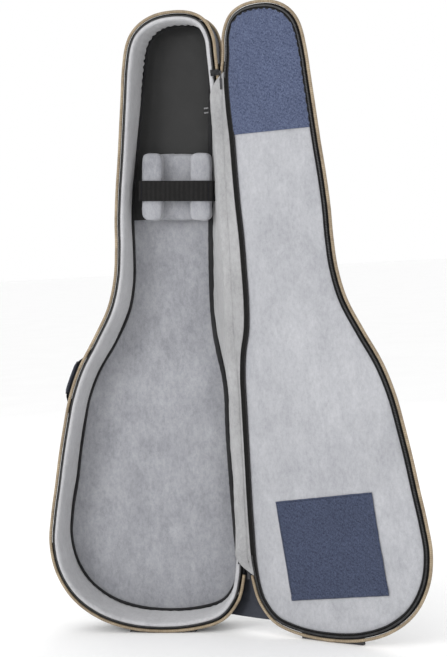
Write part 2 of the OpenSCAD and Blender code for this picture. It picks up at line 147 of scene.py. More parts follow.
def tray_at(i, d, y):
    u, z = tray_uz(i, d, y)
    return tray(u, y, z)


def lid_at(i, d, w):
    i %= N
    return lid(lid_loop[i][0] + d * NORMAL_LID[i][0], w, lid_loop[i][1] + d * NORMAL_LID[i][1])


def turned(x, z, angle):
    c, s = cos(angle), sin(angle)
    return x * c + z * s, -x * s + z * c


def round_steps(n):
    return [2 * pi * k / n for k in range(n)]


def smooth(a, b, x):
    t = min(max((x - a) / (b - a), 0), 1)
    return t * t * (3 - 2 * t)


def bump(x, middle, width):
    return exp(-((x - middle) / width) ** 2)


def fbm(p, scale, seed=0.0, octaves=3):
    v, amp = 0.0, 1.0
    q = Vector(p) * scale + Vector((seed, seed * 1.7, -seed))
    for _ in range(octaves):
        v += amp * noise.noise(q)
        q, amp = q * 2.03, amp * 0.5
    return v


# ---- mesh helpers
def add(name, data):
    ob = bpy.data.objects.new(name, data)
    scene.collection.objects.link(ob)
    return ob


def mesh_object(name, verts, faces, uvs=None, flat=False):
    me = bpy.data.meshes.new(name)
    me.from_pydata([tuple(v) for v in verts], [], faces)
    if uvs:
        layer = me.uv_layers.new(name="UVMap")
        k = 0
        for poly in uvs:
            for uv in poly:
                layer.data[k].uv = uv
                k += 1
    me.validate()
    me.update()
    for p in me.polygons:
        p.use_smooth = not flat
    return add(name, me)


def recalc(ob):
    bm = bmesh.new()
    bm.from_mesh(ob.data)
    bmesh.ops.recalc_face_normals(bm, faces=bm.faces)
    bm.to_mesh(ob.data)
    bm.free()
    return ob


def skin(name, rows, ring=False, tube=False, cap=False):
    """A surface through rows of points. ring joins the last row to the first; tube joins each
    row's end to its start; cap closes the two end rows. UVs are arc lengths in metres."""
    n, m = len(rows), len(rows[0])
    spans, strips = n if ring else n - 1, m if tube else m - 1
    verts = [v for row in rows for v in row]
    along = [0.0]
    for i in range(spans):
        along.append(along[-1] + (rows[(i + 1) % n][m // 2] - rows[i][m // 2]).length)
    across = [0.0]
    for j in range(strips):
        across.append(across[-1] + (rows[n // 2][(j + 1) % m] - rows[n // 2][j]).length)
    faces, uvs = [], []
    for i in range(spans):
        for j in range(strips):
            a, b = i * m + j, i * m + (j + 1) % m
            c, d = ((i + 1) % n) * m + (j + 1) % m, ((i + 1) % n) * m + j
            faces.append((a, b, c, d))
            uvs.append([(along[i], across[j]), (along[i], across[j + 1]),
                        (along[i + 1], across[j + 1]), (along[i + 1], across[j])])
    if cap and not ring:
        for i in (0, n - 1):
            faces.append(tuple(i * m + j for j in range(m)))
            uvs.append([(along[i], across[j]) for j in range(m)])
    return recalc(mesh_object(name, verts, faces, uvs))


def apply_all(ob):
    dg = bpy.context.evaluated_depsgraph_get()
    me = bpy.data.meshes.new_from_object(ob.evaluated_get(dg), preserve_all_data_layers=True,
                                         depsgraph=dg)
    ob.modifiers.clear()
    ob.data = me
    for p in me.polygons:
        p.use_smooth = True
    return ob


def cloth(name, rows, thickness):
    """A sheet through rows of points, with its thickness in metres."""
    ob = skin(name, rows)
    mod = ob.modifiers.new("thick", "SOLIDIFY")
    mod.thickness, mod.offset = thickness, 0
    return apply_all(ob)


def join(name, objs):
    """Several meshes as one object."""
    bm = bmesh.new()
    for o in objs:
        bm.from_mesh(o.data)
    me = bpy.data.meshes.new(name)
    bm.to_mesh(me)
    bm.free()
    for o in objs:
        bpy.data.objects.remove(o)
    for p in me.polygons:
        p.use_smooth = True
    return add(name, me)


def paint(ob, mat):
    ob.data.materials.clear()
    ob.data.materials.append(M[mat])


def done(ob, body, slot, mat, *nodes):
    """Gives a piece its material and body, and hides the CAD nodes that it stands for. slot is not
    used.
    """
    paint(ob, mat)
    if body:
        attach(ob, body)
    if nodes:
        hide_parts(*nodes)
    return ob


# ---- materials
class Mat:
    """A Principled material with short ways to add its nodes."""

    def __init__(self, name, rough=0.8, **values):
        self.m = bpy.data.materials.new(name)
        self.m.use_nodes = True
        self.t = self.m.node_tree
        self.b = self.t.nodes["Principled BSDF"]
        self.b.inputs["Roughness"].default_value = rough
        for k, v in values.items():
            self.b.inputs[k.replace("_", " ")].default_value = v
        self.heights = []

    def node(self, kind, **kw):
        n = self.t.nodes.new(kind)
        for k, v in kw.items():
            setattr(n, k, v)
        return n

    def link(self, a, b):
        self.t.links.new(a, b)

    def coords(self, uv=False, scale=(1, 1, 1)):
        c = self.node("ShaderNodeTexCoord")
        mp = self.node("ShaderNodeMapping")
        self.link(c.outputs["UV" if uv else "Object"], mp.inputs["Vector"])
        mp.inputs["Scale"].default_value = scale
        return mp.outputs["Vector"]

    def noise(self, scale, detail=4, rough=0.5, stretch=(1, 1, 1), distortion=0.0):
        n = self.node("ShaderNodeTexNoise")
        self.link(self.coords(False, stretch), n.inputs["Vector"])
        n.inputs["Scale"].default_value = scale
        n.inputs["Detail"].default_value = detail
        n.inputs["Roughness"].default_value = rough
        n.inputs["Distortion"].default_value = distortion
        return n.outputs["Fac"]

    def wave(self, pitch, along="X", uv=True, distortion=0.0):
        """Bands of this pitch in metres."""
        n = self.node("ShaderNodeTexWave", bands_direction=along)
        self.link(self.coords(uv), n.inputs["Vector"])
        n.inputs["Scale"].default_value = pi / (10 * pitch)
        n.inputs["Distortion"].default_value = distortion
        n.inputs["Detail"].default_value = 1
        return n.outputs["Fac"]

    def voronoi(self, scale):
        n = self.node("ShaderNodeTexVoronoi")
        self.link(self.coords(), n.inputs["Vector"])
        n.inputs["Scale"].default_value = scale
        return n.outputs["Distance"]

    def put(self, sock, v):
        """Sets a socket to a number or a colour, or links an output to it."""
        if isinstance(v, (int, float)):
            sock.default_value = v
        elif isinstance(v, tuple):
            sock.default_value = (*v, 1)
        else:
            self.link(v, sock)

    def math(self, op, a, b):
        n = self.node("ShaderNodeMath", operation=op)
        self.put(n.inputs[0], a)
        self.put(n.inputs[1], b)
        return n.outputs[0]

    def ramp(self, fac, stops):
        n = self.node("ShaderNodeValToRGB")
        e = n.color_ramp.elements
        while len(e) < len(stops):
            e.new(0.5)
        for k, (at, col) in enumerate(stops):
            e[k].position = at
            e[k].color = (*col, 1)
        self.link(fac, n.inputs["Fac"])
        return n.outputs["Color"]

    def mix(self, fac, a, b, mode="MIX"):
        n = self.node("ShaderNodeMix", data_type="RGBA", blend_type=mode)
        colors = [sock for sock in n.inputs if sock.type == "RGBA"]
        for sock, v in zip([n.inputs["Factor"]] + colors, (fac, a, b)):
            self.put(sock, v)
        return [sock for sock in n.outputs if sock.type == "RGBA"][0]

    def color(self, out):
        self.link(out, self.b.inputs["Base Color"])

    def rough(self, fac, low, high):
        n = self.node("ShaderNodeMapRange")
        self.link(fac, n.inputs["Value"])
        n.inputs["To Min"].default_value, n.inputs["To Max"].default_value = low, high
        self.link(n.outputs[0], self.b.inputs["Roughness"])

    def bump(self, fac, strength, distance):
        n = self.node("ShaderNodeBump")
        n.inputs["Strength"].default_value = strength
        n.inputs["Distance"].default_value = distance
        self.link(fac, n.inputs["Height"])
        if self.heights:
            self.link(self.heights[-1], n.inputs["Normal"])
        self.heights.append(n.outputs["Normal"])
        self.link(n.outputs["Normal"], self.b.inputs["Normal"])


def lerp(a, b, t):
    return tuple(x * (1 - t) + y * t for x, y in zip(a, b))


def velour(name, base, dark, light):
    """Short plush: clouds where the nap lies another way, small smudges, fine pile."""
    m = Mat(name, 0.92, Sheen_Weight=0.35, Sheen_Roughness=0.45, Specular_IOR_Level=0.25)
    cloud = m.noise(7, 5, 0.62, distortion=0.3)
    smudge = m.noise(30, 7, 0.7, stretch=(1, 1, 0.55))
    pile = m.noise(900, 2, 0.6)
    col = m.ramp(cloud, [(0.3, dark), (0.5, base), (0.72, light)])
    col = m.mix(0.5, col, m.ramp(smudge, [(0.3, dark), (0.5, base), (0.68, light)]))
    brushed = m.noise(150, 4, 0.75, stretch=(1, 1, 0.6))
    nap = m.ramp(brushed, [(0.34, lerp(base, dark, 1.3)), (0.5, base), (0.66, light)])
    col = m.mix(0.3, col, nap)
    broad = m.noise(2.6, 3, 0.5, distortion=0.8)
    col = m.mix(0.3, col, m.ramp(broad, [(0.36, (0.72,) * 3), (0.62, (1.0,) * 3)]), "MULTIPLY")
    speck = m.ramp(pile, [(0.3, (0.62,) * 3), (0.5, (0.92,) * 3), (0.72, (1.0,) * 3)])
    col = m.mix(0.5, col, speck, "MULTIPLY")
    m.color(col)
    m.bump(smudge, 0.25, 0.0018)
    m.bump(pile, 0.5, 0.0006)
    return m.m


def weave(name, warp, weft, pitch=0.0011, uv=True, rough=0.82):
    """Plain woven cloth with dust and uneven dye."""
    m = Mat(name, rough, Sheen_Weight=0.08, Specular_IOR_Level=0.3)
    a, b = m.wave(pitch, "X", uv), m.wave(pitch, "Y", uv)
    check = m.math("MULTIPLY", a, b)
    cloud = m.noise(14, 5, 0.6)
    fleck = m.noise(420, 3, 0.6)
    col = m.mix(check, warp, weft)
    col = m.mix(0.2, col, m.ramp(cloud, [(0.3, lerp(warp, (0, 0, 0), 0.35)),
                                         (0.7, lerp(weft, (1, 1, 1), 0.06))]))
    col = m.mix(0.35, col, m.ramp(fleck, [(0.35, (0.55,) * 3), (0.65, (1,) * 3)]), "MULTIPLY")
    m.color(col)
    m.bump(cloud, 0.15, 0.002)
    m.bump(check, 0.7, 0.0003)
    return m.m


def melange(name, dark, mid, light):
    """Heather cloth: pale fibres over a dark ground, on a slanting twill."""
    m = Mat(name, 0.88, Sheen_Weight=0.15, Specular_IOR_Level=0.25)
    fibre = m.noise(760, 3, 0.75, stretch=(1, 1, 0.5))
    coarse = m.noise(300, 3, 0.7)
    cloud = m.noise(11, 3, 0.5)
    twill = m.wave(0.0044, "DIAGONAL", False, 5.0)
    col = m.ramp(fibre, [(0.36, dark), (0.5, mid), (0.63, light)])
    col = m.mix(0.35, col, m.ramp(coarse, [(0.38, dark), (0.62, light)]))
    col = m.mix(m.math("MULTIPLY", twill, 0.22), col, lerp(mid, light, 0.8))
    col = m.mix(0.25, col, m.ramp(cloud, [(0.35, (0.7,) * 3), (0.65, (1.0,) * 3)]), "MULTIPLY")
    m.color(col)
    m.bump(twill, 0.5, 0.0005)
    m.bump(fibre, 0.5, 0.0005)
    return m.m


def ribbed(name, base, light, pitch):
    """Webbing or tape: ribs across, threads along, and a painted highlight on the rib crests,
    broken up so that it looks frayed.
    """
    m = Mat(name, 0.7, Sheen_Weight=0.02, Specular_IOR_Level=0.12)
    ribs = m.wave(pitch, "X", True, 0.3)
    thread = m.wave(0.0012, "Y", True, 0.5)
    dust = m.noise(260, 4, 0.7)
    cloud = m.noise(30, 3, 0.5)
    # painted highlight: the rib crests are coloured lighter, broken up by the dust noise
    col = m.mix(m.math("MULTIPLY", ribs, dust), base, light)
    col = m.mix(0.3, col, m.ramp(cloud, [(0.3, (0.6,) * 3), (0.7, (1.0,) * 3)]), "MULTIPLY")
    m.color(col)
    m.bump(ribs, 0.8, 0.0006)
    m.bump(thread, 0.4, 0.0002)
    return m.m


def leather(name, base, dark, light, rough, grain, stitch=None):
    """Synthetic leather with grain, rubbed edges and, along a piping, a row of stitches."""
    m = Mat(name, rough, Specular_IOR_Level=0.45, Coat_Weight=0.05)
    cells = m.voronoi(grain)
    cloud = m.noise(22, 5, 0.6)
    rub = m.noise(160, 4, 0.7)
    col = m.ramp(cloud, [(0.3, dark), (0.5, base), (0.7, light)])
    col = m.mix(0.4, col, m.ramp(rub, [(0.35, lerp(base, dark, 0.7)), (0.65, light)]))
    if stitch:
        along = m.wave(stitch, "X", True)
        col = m.mix(m.math("MULTIPLY", m.math("GREATER_THAN", along, 0.8), 0.55), col, dark)
        m.bump(along, 0.55, 0.0005)
    m.color(col)
    m.rough(rub, rough - 0.1, rough + 0.15)
    m.bump(cells, 0.35, 0.0003)
    return m.m


def hard(name, base, light, rough, metallic=0.0):
    """Moulded plastic, rubber or plated metal with fine scratches and worn edges."""
    m = Mat(name, rough, Metallic=metallic)
    grit = m.noise(900, 3, 0.6)
    wear = m.noise(90, 5, 0.7)
    m.color(m.ramp(wear, [(0.35, base), (0.68, light)]))
    m.rough(wear, max(rough - 0.12, 0.05), min(rough + 0.12, 1))
    m.bump(grit, 0.3, 0.00015)
    return m.m


M = {
    # One grey plush in four lit and shaded copies: plush_tray is darkened as painted shade in the
    # hollow tray and under the bass (it also covers the cradle pads), plush_wall is lightened as
    # painted light on the wall's upward-facing roll, and plush_lid and plush_spine sit between
    # them, set by how brightly each part is lit.
    "plush_tray": velour("plush_tray", (.34, .345, .37), (.22, .225, .25), (.46, .465, .49)),
    "plush_wall": velour("plush_wall", (.5, .5, .515), (.38, .38, .395), (.61, .61, .625)),
    "plush_lid": velour("plush_lid", (.42, .425, .45), (.31, .315, .34), (.53, .535, .56)),
    "plush_spine": velour("plush_spine", (.38, .38, .385), (.27, .27, .275), (.48, .48, .49)),
    "outer": weave("outer_cloth", (.022, .025, .036), (.05, .056, .075)),
    "outer_soft": weave("outer_cloth_padded", (.022, .025, .036), (.05, .056, .075), uv=False),
    "blue": melange("blue_melange", (.015, .022, .054), (.046, .062, .12), (.14, .17, .27)),
    "blue_patch": melange("blue_patch", (.01, .014, .032), (.029, .038, .074), (.08, .1, .165)),
    "tape": ribbed("zip_tape", (.004, .004, .004), (.024, .023, .022), 0.0026),
    "webbing": ribbed("webbing", (0.006, 0.006, 0.006), (0.042, 0.040, 0.040), 0.0024),
    "seam": weave("black_welt", (0.004, 0.004, 0.005), (0.010, 0.010, 0.012), 0.0009, True, 0.7),
    "tan": leather("tan_piping", (0.26, 0.20, 0.13), (0.15, 0.11, 0.07), (0.46, 0.37, 0.25),
                   0.5, 900, 0.004),
    "vinyl": leather("black_vinyl", (0.007, 0.007, 0.007), (0.004, 0.004, 0.004),
                     (0.013, 0.013, 0.013), 0.55, 700),
    "coil": hard("zip_coil", (0.012, 0.012, 0.013), (0.05, 0.05, 0.052), 0.4),
    "rubber": hard("rubber", (0.025, 0.025, 0.027), (0.06, 0.06, 0.064), 0.75),
    "plastic": hard("plastic", (0.012, 0.012, 0.014), (0.045, 0.045, 0.05), 0.45),
    "metal": hard("black_nickel", (0.016, 0.016, 0.017), (0.05, 0.05, 0.052), 0.4, 1.0),
    "thread": ribbed("thread", (0.30, 0.30, 0.31), (0.55, 0.55, 0.56), 0.001),
    "dark_thread": ribbed("dark_thread", (0.008, 0.010, 0.022), (0.03, 0.036, 0.06), 0.001),
}

# ---- tray: walls and back


def near_share(i):
    """1 along the hinge side, 0 elsewhere."""
    i %= N
    return smooth(NEAR_FIRST - 20, NEAR_FIRST + 8, i) * (1 - smooth(N - 14, N + 4, i))


def head_share(z):
    return smooth(1060, 1180, z)


WALL_PROFILE = [(5.4, 13), (5.2, 8.5), (5.3, 4.4), (6.5, 2.3), (8.9, 1.4), (11.3, 2.0),
                (13.3, 4.6), (14.3, 8.2), (14.7, 13), (14.9, 19), (15.0, 27), (15.1, 36),
                (15.1, 45), (15.0, 54), (14.9, 62), (14.7, 69), (14.5, 75), (14.2, 80),
                (13.6, 84), (12.6, 87)]
rows = []
for i in range(N):
    row = []
    z0 = tray_uz(i, 0, 40)[1]
    gather = head_share(z0) * 0.9 + bump(z0, 60, 90) * 0.35
    calm = 1 - near_share(i)
    for d, y in WALL_PROFILE:
        deep = smooth(10, 80, y)
        pos = tray_at(i, d, y)
        wav = sin(ARC[i] * 0.42 + 3.4 * noise.noise(pos * 17)) * gather * deep \
            * (1.7 + 1.6 * noise.noise(pos * 33))
        soft = fbm(pos, 16, 3) * 1.8 * smooth(8, 22, y) * (1 - smooth(80, 88, y) * 0.7)
        fold = fbm(Vector((ARC[i] / 1000 * 3.2, y / 1000 * 16, 0.3)), 1.0, 9) * 1.6 * deep
        top = fbm(pos, 30, 5) * 0.4
        ripple = calm * (wav + soft * 0.8 + fold) if y > 12 and d > 12 else 0
        row.append(tray_at(i, d + ripple, y + top))
    rows.append(row)
plush_wall = skin("tray_plush_wall", rows, ring=True)
done(plush_wall, "tray", "plush_tray", "plush_wall", "tray_wall_lining", "tray_wall_foam")


def row_ends(loop, z):
    """The near and far u where a loop crosses height z."""
    hits = []
    for k in range(len(loop)):
        (u0, z0), (u1, z1) = loop[k], loop[(k + 1) % len(loop)]
        if (z0 - z) * (z1 - z) < 0 or z0 == z:
            hits.append(u0 + (u1 - u0) * ((z - z0) / (z1 - z0) if z1 != z0 else 0))
    return min(hits), max(hits)


def panel(name, loop, place, height, bottom=None, rows_n=150, cols=44):
    """A panel that fills a closed loop above the height bottom, or all of it. height(u, z, edge)
    is its depth; edge is the distance to the nearer side in mm."""
    zs = [p[1] for p in loop]
    lo, hi = min(zs) + 0.02, max(zs) - 0.02
    low = lo if bottom is None else bottom
    grid = []
    for r in range(rows_n + 1):
        t = r / rows_n
        # rows lie closer together near a round end
        t += 0.85 * (-sin(2 * pi * t) / (2 * pi) if bottom is None
                     else sin(pi * t / 2) - t)
        z = low + (hi - low) * t
        u0, u1 = row_ends(loop, min(max(z, lo), hi))
        line = []
        for c in range(cols + 1):
            s = 0.5 - 0.5 * cos(pi * c / cols)
            s = s * 0.6 + c / cols * 0.4
            u = u0 + (u1 - u0) * s
            edge = min(u - u0, u1 - u, z - lo + 0.01, hi - z + 0.01)
            line.append(place(u, height(u, z, max(edge, 0)), z))
        grid.append(line)
    return skin(name, grid)


def tray_loop_at(d, y):
    return [tray_uz(i, d, y) for i in range(N)]


def back_lining(u, z, edge):
    p = Vector((u, 0, z)) / 1000
    return LINING_Y - 0.4 - 2.4 * smooth(0, 45, edge) - 2.2 * fbm(p, 7, 1) * smooth(0, 30, edge) \
        - 0.7 * fbm(p, 40, 2) * smooth(0, 14, edge)


plush_back = panel("tray_plush_back", tray_loop_at(13.2, LINING_Y), tray, back_lining)
done(plush_back, "tray", "plush_tray", "plush_tray", "tray_back_lining", "tray_back_foam")

# The black vinyl runs down to this height so that it shows as black strips beside the cradle; there
# it stands partly for the panel and partly for painted shade at the cradle's sides.
HEAD_Z = 845


def vinyl(u, z, edge):
    p = Vector((u, 0, z)) / 1000
    return LINING_Y - 4.6 - 1.4 * smooth(0, 22, edge) - 1.0 * fbm(p, 6, 4) * smooth(0, 20, edge)


head = panel("head_vinyl", tray_loop_at(16.2, LINING_Y), tray, vinyl, HEAD_Z, 70, 30)
done(head, "tray", "black_vinyl", "vinyl", "head_panel")


def tube(name, centre, radius, sides=10, first=0, last=None, wobble=0.0):
    """A welt: a round cord that follows an outline, or a stretch of it from first to last.
    centre(i, a, b) gives the point a inwards and b deeper than the cord's middle."""
    ring = last is None
    ids = range(N) if ring else range(first, last + 1)
    rows = []
    for i in ids:
        row = []
        for k, a in enumerate(round_steps(sides)):
            r = radius * (1 + wobble * noise.noise(Vector((i * 0.7, k, 0))))
            row.append(centre(i, r * cos(a), r * sin(a)))
        rows.append(row)
    return skin(name, rows, ring=ring, tube=True, cap=not ring)


# Along the hinge side the black welt is made wider and deeper to fill a dark band that is partly
# the seam's binding and partly painted shade in the gap beside it.
seam = tube("tray_seam_welt", lambda i, a, b: tray_at(
    i, 16.8 + 3.2 * near_share(i) + a * (1 + 1.2 * near_share(i)),
    84.0 - 1.6 * near_share(i) + b * (1 + 0.5 * near_share(i))), 2.9, 12, wobble=0.12)
done(seam, "tray", "black_piping", "seam", "tray_seam_piping")

rim_first, rim_last = -2, NEAR_FIRST + 2
rim_welt = tube("tray_rim_welt", lambda i, a, b: tray_at(i, -PIPE_R - 0.1 + a, 5.0 + b), PIPE_R, 10,
                rim_first, rim_last, wobble=0.05)
done(rim_welt, "tray", "tan_piping", "tan", "tray_rim_piping")
back_welt = tube("tray_back_welt",
                 lambda i, a, b: tray_at(i, -PIPE_R + a, DEPTH - PIPE_R + b), PIPE_R, 10)
done(back_welt, "tray", "tan_piping", "tan", "tray_back_piping")

rows = []
for i in range(N):
    row = []
    for k in range(15):
        y = 6.5 + (103.5 - 6.5) * k / 14
        pos = tray_at(i, 0, y)
        puff = -0.9 * sin(pi * k / 14) + 0.7 * fbm(pos, 14, 6)
        sewn = smooth(0, 0.12, k / 14) * smooth(1, 0.88, k / 14)
        row.append(tray_at(i, max(puff, -1.6) * sewn, y))
    rows.append(row)
done(skin("tray_gusset_cloth", rows, ring=True),
     "tray", "outer_cloth", "outer", "tray_gusset_shell")


def outer_back(u, z, edge):
    p = Vector((u, 1, z)) / 1000
    return DEPTH - 1.2 + 1.2 * smooth(0, 30, edge) + 0.5 * fbm(p, 9, 8) * smooth(0, 25, edge)


back_cloth = panel("tray_back_cloth", tray_loop_at(0.2, DEPTH), tray, outer_back)
done(back_cloth, "tray", "outer_cloth", "outer", "tray_back_shell")

# zip tape and coil of the tray
rows = [[tray_at(i, d, y) for d, y in ((2.2, 18), (2.5, 10), (2.6, 4), (2.7, 1.7), (3.6, 1.6),
                                        (3.8, 4), (3.9, 9), (3.9, 18))]
        for i in range(TRACK_FIRST, NEAR_FIRST + 1)]
done(skin("tray_tape", rows), "tray", "zip_tape", "tape", "tray_zip_tape")


def span(i):
    """Length of the outline from one point to the next."""
    a, b = rim_loop[i % N], rim_loop[(i + 1) % N]
    return hypot(b[0] - a[0], b[1] - a[1])


def coil(name, place, pitch=3.0):
    """Zip teeth: one small loop after another. place(f, half, a, b) maps a fractional index, a
    shift along the track and a place in the cross section (inwards, deep) to a point."""
    tooth = [(-1.9, -0.8), (-1.3, -1), (1.4, -0.9), (2, -0.2), (2, 0.4), (1.3, 0.9), (-1.4, 0.9)]
    verts, faces, m = [], [], len(tooth)
    at, s = TRACK_FIRST, 0.0
    for tooth_no in range(int(sum(span(i) for i in range(TRACK_FIRST, NEAR_FIRST)) / pitch)):
        want = tooth_no * pitch
        while s + span(at) < want and at < NEAR_FIRST - 1:
            s += span(at)
            at += 1
        f = at + min(max((want - s) / span(at), 0), 1)
        base = len(verts)
        verts += [place(f, half, a, b) for a, b in tooth for half in (-0.95, 0.95)]
        for k in range(m):
            a, b = base + 2 * k, base + 2 * ((k + 1) % m)
            faces.append((a, a + 1, b + 1, b))
        faces.append(tuple(base + 2 * k for k in range(m)))
        faces.append(tuple(base + 2 * k + 1 for k in reversed(range(m))))
    return recalc(mesh_object(name, verts, faces, flat=True))


def between(at, f, half, d, y):
    """A point at fractional index f, moved along the outline by half a tooth."""
    i, t = floor(f), f - floor(f)
    a, b = at(i, d, y), at(i + 1, d, y)
    way = (b - a).normalized()
    return a.lerp(b, t) + way * half / 1000


teeth = coil("tray_teeth", lambda f, h, a, b: between(tray_at, f, h, 4.7 + 0.8 * a, 2.4 + b))
done(teeth, "tray", "zip_chain", "coil", "tray_zip_chain")
lid_teeth = coil("lid_teeth", lambda f, h, a, b: between(lid_at, f, h, 5.4 + a, 2.9 + b))
done(lid_teeth, "lid", "zip_chain", "coil", "lid_zip_chain")

# ---- lid


def tape_in(i):
    """How far the lid's tape shows inside its edge: wider along the hinge."""
    return 10.5 + 3.0 * near_share(i)


lid_ring = inset(lid_loop, lambda i: tape_in(i) - 0.8)


def lid_lining(u, z, edge):
    p = Vector((u, 2, z)) / 1000
    lift = 2.6 * smooth(0, 28, edge) + 1.3 * fbm(p, 6, 11) * smooth(0, 40, edge)
    crease = 2.6 * bump(z - 0.03 * u, 926, 5) * bump(u, 112, 60) \
        + 1.0 * bump(z + 0.1 * u, 950, 7) * bump(u, 150, 40)
    ridges = 2.4 * sin((u + 0.12 * z) * 0.16 + 2 * noise.noise(p * 12)) \
        * bump(z, 830, 62) * smooth(0, 30, edge)
    ring = 1.6 * (bump(edge, 24, 5) * 0.8 - bump(edge, 34, 4) * 0.6) \
        * bump(u, 330, 90) * bump(z, 150, 130)
    corner = 2.0 * fbm(p, 26, 12) * (bump(u, 350, 70) * bump(z, 170, 150) + 0.25)
    return RIM_Y + 0.6 - lift + crease - ridges * 0.6 - ring - corner * smooth(0, 20, edge)


lining = panel("lid_plush", lid_ring, lid, lid_lining, None, 190, 60)
done(lining, "lid", "plush_lid", "plush_lid", "lid_lining", "lid_foam")

TAPE_PROFILE = [(0.07, 6.2), (0.15, 4.9), (0.3, 4.5), (0.5, 4.35), (0.7, 4.3), (0.9, 4.2), (1, 4.1),
                (1.05, 4.6), (1.05, 6.5)]
rows = [[lid_at(i, d * tape_in(i), w + 0.25 * noise.noise(Vector((ARC[i] * 0.03, d, 5))))
         for d, w in TAPE_PROFILE] for i in range(N)]
done(skin("lid_tape", rows, ring=True), "lid", "zip_tape", "tape", "lid_zip_tape")
lid_seam = tube("lid_seam_cord", lambda i, a, b: lid_at(i, tape_in(i) + 0.6 + a, 3.9 + b),
                1.2, 8, wobble=0.15)
done(lid_seam, "lid", "black_piping", "seam")

lid_rim = tube("lid_rim_welt", lambda i, a, b: lid_at(i, -PIPE_R - 0.1 + a, 5.0 + b), PIPE_R, 10,
               rim_first, rim_last, wobble=0.05)
done(lid_rim, "lid", "tan_piping", "tan", "lid_rim_piping")
lid_front = tube("lid_front_welt",
                 lambda i, a, b: lid_at(i, FRONT_IN - PIPE_R + a, LID_T - PIPE_R + b), PIPE_R, 10)
done(lid_front, "lid", "tan_piping", "tan", "lid_front_piping")

rows = []
for i in range(N):
    row = []
    for k in range(7):
        w = 6.2 + (22.4 - 6.2) * k / 6
        pos = lid_at(i, 0, w)
        slope = 0.3 + FRONT_IN * k / 6 - 0.6 * sin(pi * k / 6)
        row.append(lid_at(i, slope + 0.3 * fbm(pos, 20, 7), w))
    rows.append(row)
done(skin("lid_edge_cloth", rows, ring=True), "lid", "outer_cloth", "outer", "lid_edge_band")


def lid_outer(u, z, edge):
    p = Vector((u, 3, z)) / 1000
    return LID_T - 1.6 + 1.9 * smooth(0, 40, edge) + 0.7 * fbm(p, 8, 14) * smooth(0, 30, edge)


front_cloth = panel("lid_front_cloth", inset(lid_loop, FRONT_IN + 0.2), lid, lid_outer)
done(front_cloth, "lid", "outer_cloth", "outer", "lid_panel_shell")

LID_HEAD_Z = 1000


def head_cloth(u, z, edge):
    p = Vector((u, 4, z)) / 1000
    pucker = sin(z * 0.36 + 3 * noise.noise(p * 30)) * bump(edge, 10, 16) \
        * smooth(150, 190, u + (z - 1000) * 0.12) * 1.1
    gather = sin(u * 0.5 + 2 * noise.noise(p * 25)) * bump(1241 - z, 14, 20) * 0.8
    return 3.2 - 2.4 * smooth(0, 26, edge) + pucker + gather \
        + 0.9 * fbm(p, 16, 15) * smooth(0, 12, edge) + 1.6 * bump(z, LID_HEAD_Z, 5)


head_blue = panel("lid_head_cloth", inset(lid_loop, lambda i: tape_in(i) - 0.4), lid, head_cloth,
                  LID_HEAD_Z, 90, 56)
done(head_blue, "lid", "blue_cloth", "blue", "lid_head_panel")

# patch inside the lid, sewn on round its edges, with a hem along its lower and outer sides
PATCH_AT, PATCH_W, PATCH_H, PATCH_TURN = (197, 188), 220, 198, radians(7.7)


def patch_point(a, b, w):
    x, y = turned(a, b, -PATCH_TURN)
    u, z = PATCH_AT[0] + x, PATCH_AT[1] + y
    return lid(u, lid_lining(u, z, 60) - w, z)


rows = []
for r in range(61):
    b = PATCH_H * (r / 60 - 0.5)
    line = []
    for c in range(61):
        a = PATCH_W * (c / 60 - 0.5)
        p = Vector((a, 5, b)) / 1000
        e = min(PATCH_W / 2 - abs(a), PATCH_H / 2 - abs(b))
        hem = 1.3 * smooth(11.5, 10.2, min(PATCH_W / 2 - a, PATCH_H / 2 + b)) \
            - 1.4 * bump(min(PATCH_W / 2 - a, PATCH_H / 2 + b), 9.2, 1.5)
        ra = 0.7 * noise.noise(Vector((b * 0.04, 3, 0))) * smooth(6, 0, PATCH_W / 2 - abs(a))
        rb = 0.7 * noise.noise(Vector((a * 0.04, 9, 0))) * smooth(6, 0, PATCH_H / 2 - abs(b))
        lift = 1.0 + hem + 0.5 * fbm(p, 18, 16) + 0.6 * smooth(0, 8, e)
        line.append(patch_point(a + ra, b + rb, lift))
    rows.append(line)
patch = cloth("lid_patch_cloth", rows, 0.0009)
done(patch, "lid", "blue_cloth", "blue_patch", "lid_patch")


def stitches(name, points, length, gap, width, body, slot, mat):
    """A row of raised stitches along points, each given with its surface normal."""
    total, at = line_path(points)
    verts, faces, base, s = [], [], 0, 0.0
    while s + length < total:
        p, way, up = at(s)
        side = way.cross(up).normalized()
        for t, wd, h in ((0, 0.35, 0.2), (0.2, 1, 1), (0.5, 1, 1.25), (0.8, 1, 1), (1, 0.35, 0.2)):
            c = p + way * (length * t / 1000)
            for k in range(6):
                a = pi * 2 * k / 6
                verts.append(c + side * (width / 2000 * wd * cos(a))
                             + up * ((h * sin(a) * 0.5 + 0.3) * 0.5 / 1000))
        for r in range(4):
            for k in range(6):
                q = base + r * 6
                faces.append((q + k, q + (k + 1) % 6, q + 6 + (k + 1) % 6, q + 6 + k))
        faces.append(tuple(base + k for k in range(6)))
        faces.append(tuple(base + 24 + k for k in range(6)))
        base += 30
        s += length + gap
    done(recalc(mesh_object(name, verts, faces)), body, slot, mat)


def line_path(points):
    """The length in mm of a path through points, and what lies at a distance along it:
    the point, the way of the path and the surface normal."""
    lens = [0.0]
    for a, b in zip(points, points[1:]):
        lens.append(lens[-1] + (b[0] - a[0]).length * 1000)

    def at(s):
        k = 0
        while k < len(lens) - 2 and lens[k + 1] < s:
            k += 1
        (p, n), (q, _) = points[k], points[k + 1]
        t = (s - lens[k]) / (lens[k + 1] - lens[k])
        return p.lerp(q, t), (q - p).normalized(), n

    return lens[-1], at


